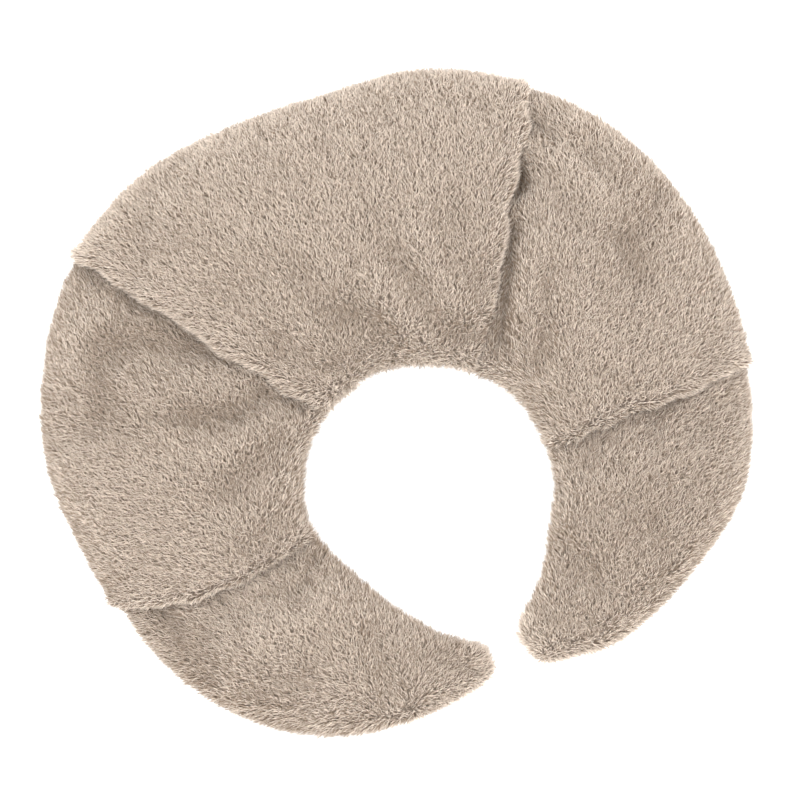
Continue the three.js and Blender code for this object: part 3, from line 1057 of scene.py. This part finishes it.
class Graph:
    """Adds nodes to a node tree and links them."""

    def __init__(self, tree):
        self.tree = tree

    def add(self, kind, settings=None, inputs=None):
        """A new node, with its settings first and then its inputs by name or place. Gives its first
        enabled output."""
        node = self.tree.nodes.new(kind)
        for name, value in (settings or {}).items():
            setattr(node, name, value)
        for name, value in (inputs or {}).items():
            usable = [socket for socket in node.inputs if socket.enabled]
            target = node.inputs[name] if isinstance(name, int) else next(x for x in usable if x.name == name)
            if isinstance(value, Wire):
                self.tree.links.new(value.socket, target)
            else:
                target.default_value = value
        outputs = [socket for socket in node.outputs if socket.enabled]
        return Wire(self, outputs[0]) if outputs else None

    def vector(self, operation, *values):
        return self.add("ShaderNodeVectorMath", {"operation": operation}, dict(enumerate(values)))

    def scaled(self, vector, amount):
        return self.add("ShaderNodeVectorMath", {"operation": "SCALE"}, {0: vector, "Scale": amount})

    def combine(self, *values):
        return self.add("ShaderNodeCombineXYZ", None, dict(enumerate(values)))

    def separate(self, vector):
        """The first of a vector's three numbers. The others are its outputs Y and Z."""
        return self.add("ShaderNodeSeparateXYZ", None, {0: vector})

    def noise(self, place, grain):
        inputs = {"Vector": place, "Scale": grain.scale, "Detail": grain.detail}
        return self.add("ShaderNodeTexNoise", None, inputs)

    def mix(self, factor, first, last):
        return self.add("ShaderNodeMix", {"data_type": "RGBA"}, {"Factor": factor, "A": first, "B": last})


# %% [markdown]
# ## Plush colours
# The pile is painted lighter at its tips, which catch the light, and darker at its roots, as painted shade
# down among the locks. Every lock carries two numbers in a UV map: across it, its shade, which holds the
# skin's painted light and shade, a painted light or dark side and a random share of its own, and along it,
# the way from root to tip. The colour is worked out from those two alone, so it stays on the lock wherever it
# lies.

# %% Colours and the pile's material
# The roots' colour is painted shade among the locks
ROOT_COLOUR = (0.220, 0.154, 0.102, 1)
DULL_TIP = (0.270, 0.191, 0.128, 1)
BRIGHT_TIP = (1.0, 0.867, 0.742, 1)
ROOT_ENDS = 0.1
TIP_STARTS = 0.7
PILE_ROUGHNESS = 0.85
PILE_SHEEN = 0.15
SPECULAR = 0.2
SHEEN_ROUGHNESS = 0.6
UV_NAME = "OFBake"


def surface(material, colour, roughness, sheen, normal=None, glow=0.0):
    """The shader at the end of a material."""
    graph = Graph(material.node_tree)
    inputs = {
        "Base Color": colour,
        "Roughness": roughness,
        "Specular IOR Level": SPECULAR,
        "Sheen Weight": sheen,
        "Sheen Roughness": SHEEN_ROUGHNESS,
        "Emission Color": (1, 1, 1, 1),
        "Emission Strength": glow,
    }
    if normal is not None:
        inputs["Normal"] = normal
    shader = graph.add("ShaderNodeBsdfPrincipled", None, inputs)
    graph.add("ShaderNodeOutputMaterial", None, {"Surface": shader})


def new_material(name):
    material = bpy.data.materials.new(name)
    material.use_nodes = True
    material.node_tree.nodes.clear()
    return material


def pile_material():
    material = new_material("taupe_pile")
    graph = Graph(material.node_tree)
    shade = graph.separate(graph.add("ShaderNodeUVMap", {"uv_map": UV_NAME}))
    rise = graph.add(
        "ShaderNodeMapRange",
        {"interpolation_type": "SMOOTHSTEP"},
        {0: shade.output("Y"), 1: ROOT_ENDS, 2: TIP_STARTS},
    )
    colour = graph.mix(rise, ROOT_COLOUR, graph.mix(shade, DULL_TIP, BRIGHT_TIP))
    surface(material, colour, PILE_ROUGHNESS, PILE_SHEEN)
    return material


taupe_pile = pile_material()
print("nodes in", taupe_pile.name, "material:", len(taupe_pile.node_tree.nodes))

# %% [markdown]
# The skin is the knitted backing. It is nearly hidden, and only its dark taupe shows between the locks, a
# darkness that is partly painted shade for the depth among them, so a fine mottle and a slight knitted relief
# are enough. Both read Object coordinates.

# %% The backing's material
BACKING_DARK = (0.330, 0.249, 0.185, 1)
BACKING_LIGHT = (0.450, 0.341, 0.256, 1)
BACKING_MOTTLE = Noise(260, 3)
BACKING_ROUGHNESS = 0.95
BACKING_SHEEN = 0.1
KNIT = Noise(900, 1)
KNIT_DEPTH = 0.4 * MM
KNIT_STRENGTH = 0.6


def backing_material():
    material = new_material("taupe_backing")
    graph = Graph(material.node_tree)
    place = graph.add("ShaderNodeTexCoord").output("Object")
    colour = graph.mix(graph.noise(place, BACKING_MOTTLE), BACKING_DARK, BACKING_LIGHT)
    relief = {"Strength": KNIT_STRENGTH, "Distance": KNIT_DEPTH, "Height": graph.noise(place, KNIT)}
    normal = graph.add("ShaderNodeBump", None, relief)
    surface(material, colour, BACKING_ROUGHNESS, BACKING_SHEEN, normal)
    return material


taupe_backing = backing_material()
print("nodes in", taupe_backing.name, "material:", len(taupe_backing.node_tree.nodes))

# %% [markdown]
# ## The locks
# A lock is a tuft of fibres that cling together. A three-sided spike of four faces is the lightest shape that
# still has a side for painted light and one for painted shade, and its root is set back so that it leans. The
# locks are fine and close on the front, more upright round the back's rim, and wide and pressed flat below.

# %% Sizes of the locks
FRONT_LOCK = {
    "Spacing": 0.63 * MM,
    "Length": 6.2 * MM,
    "Width": 0.9 * MM,
    "Flatness": 0.8,
    "Set Back": 0.9 * MM,
    "Lift": 0.62,
    "Swirl": 1.1,
    "Stray": 0.8,
}
RIM_LOCK = {**FRONT_LOCK, "Spacing": 1.15 * MM, "Width": 1.1 * MM, "Lift": 0.9}
FLAT_LOCK = {
    "Spacing": 2.05 * MM,
    "Length": 9.0 * MM,
    "Width": 2.0 * MM,
    "Flatness": 0.4,
    "Set Back": 0.4 * MM,
    "Lift": 0.06,
    "Swirl": 1.3,
    "Stray": 0.28,
}
ACROSS_SPREAD = 0.004
SIDES = 3


def named(graph, name, kind="FLOAT"):
    return graph.add("GeometryNodeInputNamedAttribute", {"data_type": kind}, {"Name": name})


def stored(graph, geometry, name, value, domain="POINT", kind="FLOAT"):
    """The geometry with an attribute on its points, faces or corners."""
    settings = {"data_type": kind, "domain": domain}
    inputs = {"Geometry": geometry, "Name": name, "Value": value}
    return graph.add("GeometryNodeStoreNamedAttribute", settings, inputs)


def lock_shape(graph, given):
    """One lock, its root at 0 and its tip up. Its way from root to tip is stored on it, and which of its
    three sides each face is on: 1 for the first, -1 for the last and 0 for the one underneath."""
    spike = graph.add(
        "GeometryNodeMeshCone",
        {"fill_type": "NGON"},
        {"Vertices": SIDES, "Side Segments": 1, "Radius Top": 0.0, "Radius Bottom": 1.0, "Depth": 1.0},
    )
    x = graph.separate(graph.add("GeometryNodeInputPosition"))
    y, along = x.output("Y"), x.output("Z")
    half = given["Width"] * 0.5
    set_back = (1 - along) * given["Set Back"]
    place = graph.combine(x * half * given["Flatness"] + set_back, y * half, along * given["Length"])
    side = 1 - graph.add("GeometryNodeInputIndex") % SIDES
    shaped = stored(graph, spike, "along", along)
    shaped = stored(graph, shaped, "beside", y * ACROSS_SPREAD)
    shaped = stored(graph, shaped, "side", side, "FACE")
    return graph.add("GeometryNodeSetPosition", None, {"Geometry": shaped, "Position": place})


for label in ("Spacing", "Length", "Width"):
    print("a front lock's", label.lower(), "in millimetres:", round(FRONT_LOCK[label] / MM, 2))

# %% [markdown]
# ## How the locks stand
# Each lock turns along the nap, with a swirl that its neighbours share and a stray of its own, and leans up
# from the cloth. It also gets a shade of its own, and painted light on one side and painted shade on another,
# because the soft light of the studio alone wouldn't tell such fine locks apart.

# %% Turn and shade a lock
SWIRL_NOISE = Noise(190, 2)
RISE_NOISE = Noise(90, 1)
RISE_SWIRL = 0.8
RANDOM_LIFT = (0.5, 1.7)
PATCHES = Noise(28, 2)
PATCH_SHADE = 0.14
LOCK_SHADE = 0.6
# Painted light on a lock's lit side and painted shade on its dark side
SIDE_SHADE = 0.32
SIDE_DARK = 0.2
DARKEST = 0.02
LIGHTEST = 0.98
STRAY_SEED, SHADE_SEED, SIZE_SEED, SIDE_SEED, LIFT_SEED = range(1, 6)


def random_value(graph, low, high, seed, kind="FLOAT"):
    inputs = {"Min": low, "Max": high, "Seed": seed}
    return graph.add("FunctionNodeRandomValue", {"data_type": kind}, inputs)


def lock_rotation(graph, given, place, normal):
    """Turns a lock along the nap and leans it up from the cloth."""
    swirl = graph.vector("SUBTRACT", graph.noise(place, SWIRL_NOISE).output("Color"), (0.5, 0.5, 0.5))
    stray = random_value(graph, (-1, -1, -1), (1, 1, 1), given["Seed"] + STRAY_SEED, "FLOAT_VECTOR")
    nap = graph.vector("ADD", named(graph, "nap", "FLOAT_VECTOR"), graph.scaled(swirl, given["Swirl"]))
    nap = graph.vector("ADD", nap, graph.scaled(stray, given["Stray"]))
    outward = graph.scaled(normal, graph.vector("DOT_PRODUCT", nap, normal))
    flat = graph.vector("NORMALIZE", graph.vector("SUBTRACT", nap, outward))
    rise = 1 + (graph.noise(place, RISE_NOISE) - 0.5) * RISE_SWIRL
    own = random_value(graph, *RANDOM_LIFT, given["Seed"] + LIFT_SEED)
    lift = given["Lift"] * named(graph, "raised") * rise * own
    direction = graph.vector("ADD", flat, graph.scaled(normal, lift))
    align = "FunctionNodeAlignRotationToVector"
    rotation = graph.add(align, {"axis": "Z"}, {"Vector": direction})
    return graph.add(align, {"axis": "X", "pivot_axis": "Z"}, {"Rotation": rotation, "Vector": normal})


def lock_shade(graph, given, place):
    """The skin's shade with soft patches and a random share of each lock's own."""
    patches = (graph.noise(place, PATCHES) - 0.5) * PATCH_SHADE
    own = random_value(graph, -0.5, 0.5, given["Seed"] + SHADE_SEED) * LOCK_SHADE
    return (named(graph, "shade") + patches + own).limited(DARKEST, LIGHTEST)


def lock_colour(graph):
    """The two numbers that a lock carries in its UV map: its shade with this side's painted light, or the
    painted shade of its dark side, and root to tip.
    """
    side = named(graph, "side") * named(graph, "lit")
    sides = side * SIDE_SHADE - side * side * SIDE_DARK
    shade = (named(graph, "shade") + sides).limited(DARKEST, LIGHTEST)
    return graph.combine(shade + named(graph, "beside"), named(graph, "along"))


# %% [markdown]
# ## The pile
# Two hundred thousand locks can't be placed by hand. Geometry Nodes scatter them evenly on a skin, and one
# tree serves every piece, with its sizes as inputs. The locks come in tufts, larger and smaller, most of
# all where they stand up. None reaches below the table.

# %% The tree that grows the pile
RANDOM_SIZE = (0.78, 1.18)
TUFTS = Noise(230, 1)
TUFT_SHARE = 1.5
TRIES = 3
LOWEST = 0.2 * MM
SPENT = (*SKIN_ATTRIBUTES, "lit", "side", "along", "beside")


def tree_with_inputs(name, kinds):
    """An empty Geometry Nodes tree with a mesh in and out and named inputs, and a wire for each."""
    tree = bpy.data.node_groups.new(name, "GeometryNodeTree")
    tree.interface.new_socket("Geometry", in_out="INPUT", socket_type="NodeSocketGeometry")
    for label, kind in kinds.items():
        tree.interface.new_socket(label, in_out="INPUT", socket_type="NodeSocket" + kind)
    tree.interface.new_socket("Geometry", in_out="OUTPUT", socket_type="NodeSocketGeometry")
    graph = Graph(tree)
    first = graph.add("NodeGroupInput")
    return tree, graph, {label: first.output(label) for label in ["Geometry", *kinds]}


def scattered_points(graph, given):
    """Points spread evenly over the part of the skin that bears pile and lies in the given zone."""
    zone = named(graph, "zone")
    inside = (zone > given["From"]) * (zone < given["To"])
    return graph.add(
        "GeometryNodeDistributePointsOnFaces",
        {"distribute_method": "POISSON"},
        {
            "Mesh": given["Geometry"],
            "Distance Min": given["Spacing"],
            "Density Max": 1 / (given["Spacing"] * given["Spacing"]) * TRIES,
            "Density Factor": named(graph, "cover") * inside,
            "Seed": given["Seed"],
        },
    )


def above_table(graph, real):
    """Lifts whatever would reach below the table."""
    x = graph.separate(graph.add("GeometryNodeInputPosition"))
    z = x.math("MAXIMUM", x.output("Z"), LOWEST)
    place = graph.combine(x, x.output("Y"), z)
    return graph.add("GeometryNodeSetPosition", None, {"Geometry": real, "Position": place})


def build_pile_tree():
    kinds = {**dict.fromkeys([*FRONT_LOCK, "From", "To"], "Float"), "Seed": "Int", "Material": "Material"}
    tree, graph, given = tree_with_inputs("pile", kinds)
    scattered = scattered_points(graph, given)
    place = graph.add("GeometryNodeInputPosition")
    points = stored(graph, scattered, "shade", lock_shade(graph, given, place))
    lit = (random_value(graph, -1.0, 1.0, given["Seed"] + SIDE_SEED) > 0) * 2 - 1
    points = stored(graph, points, "lit", lit)
    tufts = (graph.noise(place, TUFTS) - 0.5) * (named(graph, "raised") - 1) * TUFT_SHARE
    planted = {
        "Points": points,
        "Instance": lock_shape(graph, given),
        "Rotation": lock_rotation(graph, given, place, scattered.output("Normal")),
        "Scale": random_value(graph, *RANDOM_SIZE, given["Seed"] + SIZE_SEED) * (1 + tufts),
    }
    grown = graph.add("GeometryNodeInstanceOnPoints", None, planted)
    real = graph.add("GeometryNodeRealizeInstances", None, {"Geometry": grown})
    real = stored(graph, real, UV_NAME, lock_colour(graph), "CORNER", "FLOAT2")
    real = above_table(graph, real)
    for name in SPENT:
        real = graph.add("GeometryNodeRemoveAttribute", None, {"Geometry": real, "Name": name})
    finished = graph.add("GeometryNodeSetMaterial", None, {"Geometry": real, "Material": given["Material"]})
    graph.add("NodeGroupOutput", None, {"Geometry": finished})
    return tree


pile_tree = build_pile_tree()
print("nodes in the pile's tree:", len(pile_tree.nodes))

# %% [markdown]
# ## Growing it
# Each chamber gets its own pile, and the wide centre chamber gets two so that no piece is too heavy. The
# back gets two as well: one stands out round its rim, where it hides the seam, and the other is pressed
# flat and sparse, because the pillow lies on it.

# %% The piles
WHOLE = (RIGHT_TIP, LEFT_TIP)
RIGHT_HALF = (RIGHT_TIP, 108)
LEFT_HALF = (108, LEFT_TIP)
BACK_RIM = (-1, 6)
BACK_MIDDLE = (6, 100)

# A zone is a stretch of angles on a chamber, and of distances in from the rim on the back. It leaves out
# its two ends, so that the one at the back's rim starts below 0
Pile = namedtuple("Pile", "name skin lock zone seed")
PILES = [
    Pile("right_tail_pile", "right_tail", FRONT_LOCK, WHOLE, 11),
    Pile("right_chamber_pile", "right_chamber", FRONT_LOCK, WHOLE, 22),
    Pile("centre_chamber_pile_right", "centre_chamber", FRONT_LOCK, RIGHT_HALF, 33),
    Pile("centre_chamber_pile_left", "centre_chamber", FRONT_LOCK, LEFT_HALF, 44),
    Pile("left_chamber_pile", "left_chamber", FRONT_LOCK, WHOLE, 55),
    Pile("left_tail_pile", "left_tail", FRONT_LOCK, WHOLE, 66),
    Pile("back_pile", "back_panel", FLAT_LOCK, BACK_MIDDLE, 77),
    Pile("back_rim_pile", "back_panel", RIM_LOCK, BACK_RIM, 88),
]


# %% Grow the pile on each skin
def grow_pile(pile):
    """Locks on a skin, as a mesh object of their own."""
    carrier = add_object(pile.name, skins[pile.skin].data)
    growth = carrier.modifiers.new("pile", "NODES")
    growth.node_group = pile_tree
    low, high = pile.zone
    values = {**pile.lock, "From": low, "To": high, "Seed": pile.seed, "Material": taupe_pile}
    for item in pile_tree.interface.items_tree:
        if item.in_out == "INPUT" and item.name in values:
            value = values[item.name]
            growth[item.identifier] = float(value) if item.socket_type == "NodeSocketFloat" else value
    carrier.update_tag()
    keep_result(carrier, growth)
    print(pile.name, "locks:", len(carrier.data.polygons) // (SIDES + 1))
    return carrier


piles = [grow_pile(pile) for pile in PILES]

# %% [markdown]
# ## Floor and light
# The pillow lies on a plain pale floor in soft studio light: one wide lamp high over its upper left and an
# even pale sky, so that the hems cast only thin, soft shadows. The plain view transform keeps the plush in
# its own colours.

# %% Floor, sky and lamp
FLOOR_SIZE = 8.0
FLOOR_COLOUR = (0.93, 0.93, 0.93, 1)
FLOOR_ROUGHNESS = 0.9
FLOOR_GLOW = 0.2
SKY_STRENGTH = 2.23
LAMP_SIZE = 1.6
LAMP_POWER = 12
LAMP_PLACE = (-0.9, 0.9, 2.1)

floor_material = new_material("pale_floor")
surface(floor_material, FLOOR_COLOUR, FLOOR_ROUGHNESS, 0.0, glow=FLOOR_GLOW)
half = FLOOR_SIZE / 2
corners = [(-half, -half, 0), (half, -half, 0), (half, half, 0), (-half, half, 0)]
floor_mesh = bpy.data.meshes.new("floor")
floor_mesh.from_pydata(corners, [], [(0, 1, 2, 3)])
floor_mesh.materials.append(floor_material)
floor = add_object("floor", floor_mesh)

world = bpy.data.worlds.new("studio")
world.use_nodes = True
sky = world.node_tree.nodes["Background"]
sky.inputs["Color"].default_value = (1, 1, 1, 1)
sky.inputs["Strength"].default_value = SKY_STRENGTH
bpy.context.scene.world = world

lamp_data = bpy.data.lights.new("lamp", "AREA")
lamp_data.size = LAMP_SIZE
lamp_data.energy = LAMP_POWER
lamp = add_object("lamp", lamp_data)
lamp.location = LAMP_PLACE
lamp.rotation_euler = lamp.location.to_track_quat("Z", "Y").to_euler()
bpy.context.scene.view_settings.view_transform = "Standard"
print("lamp:", LAMP_POWER, "watts,", LAMP_PLACE[2], "metres up")

# %% [markdown]
# ## Handing the pieces over
# Each skin stands for its solid, which is hidden, and gets the backing's material. The pile rides along with
# it.

# %% Materials, bodies and slots
for name, skin in skins.items():
    for attribute in SKIN_ATTRIBUTES:
        skin.data.attributes.remove(skin.data.attributes[attribute])
    skin.data.materials.append(taupe_backing)
    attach(skin, "root")
    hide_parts(name)
for pile, grown in zip(PILES, piles):
    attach(grown, "root")
